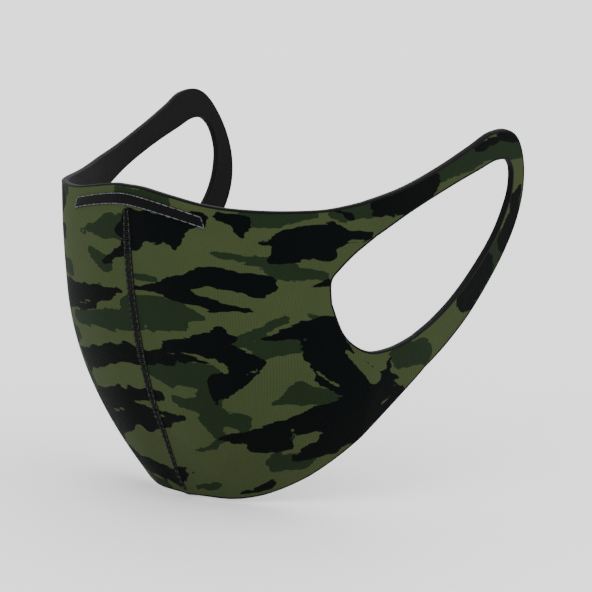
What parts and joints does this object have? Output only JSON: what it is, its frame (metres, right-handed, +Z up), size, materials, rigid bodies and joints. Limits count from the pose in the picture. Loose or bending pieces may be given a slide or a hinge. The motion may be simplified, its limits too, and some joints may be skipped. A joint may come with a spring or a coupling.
{
  "type": "face mask",
  "caption": "Two-layer knit face mask with a curved centre seam, a nose wire in a sewn casing, and ear loops cut in one piece with the cheeks.",
  "frame": {"origin": "top of the centre seam on the mask's outer face, where it sits on the bridge of the nose", "axes": "+Z up, the wearer faces -Y, +X is the wearer's left"},
  "size_m": [0.1578, 0.1462, 0.1356],
  "materials": {
    "camo_knit": "matt printed knit, three-tone camouflage",
    "lining_knit": "plain black knit",
    "casing_tape": "black sewn tape",
    "nose_wire": "flat annealed strip, hidden in its casing",
    "casing_thread": "grey polyester sewing thread",
    "looper_thread": "grey polyester sewing thread",
    "seam_thread": "dark polyester sewing thread"
  },
  "bodies": {
    "bridge": {"nose_wire": "nose_wire", "nose_casing": "casing_tape", "casing_thread": "casing_thread", "looper_thread": "looper_thread"},
    "left_half": {"outer_panel_left": "camo_knit", "lining_panel_left": "lining_knit", "needle_thread_left": "seam_thread"},
    "right_half": {"outer_panel_right": "camo_knit", "lining_panel_right": "lining_knit", "needle_thread_right": "seam_thread"},
    "left_loop": {"outer_loop_left": "camo_knit", "lining_loop_left": "lining_knit"},
    "right_loop": {"outer_loop_right": "camo_knit", "lining_loop_right": "lining_knit"}
  },
  "joints": [
    {"name": "fold_left", "type": "hinge", "parent": "bridge", "child": "left_half", "pos_m": [0, 0.00265, 0], "axis": [0, -0.2735, 0.9619], "range_deg": [0, 24], "deforming": ["looper_thread"]},
    {"name": "fold_right", "type": "hinge", "parent": "bridge", "child": "right_half", "pos_m": [0, 0.00265, 0], "axis": [0, -0.2735, 0.9619], "range_deg": [-24, 0], "deforming": ["looper_thread"]},
    {"name": "left_loop_swing", "type": "hinge", "parent": "left_half", "child": "left_loop", "pos_m": [0.06928, 0.06955, -0.03961], "axis": [0.0769, 0.4267, -0.9011], "range_deg": [-6, 80]},
    {"name": "right_loop_swing", "type": "hinge", "parent": "right_half", "child": "right_loop", "pos_m": [-0.06928, 0.06955, -0.03961], "axis": [0.0769, -0.4267, 0.9011], "range_deg": [-6, 80]}
  ],
  "couplings": [
    {"joint": "fold_right", "follows": "fold_left", "ratio": -1}
  ]
}
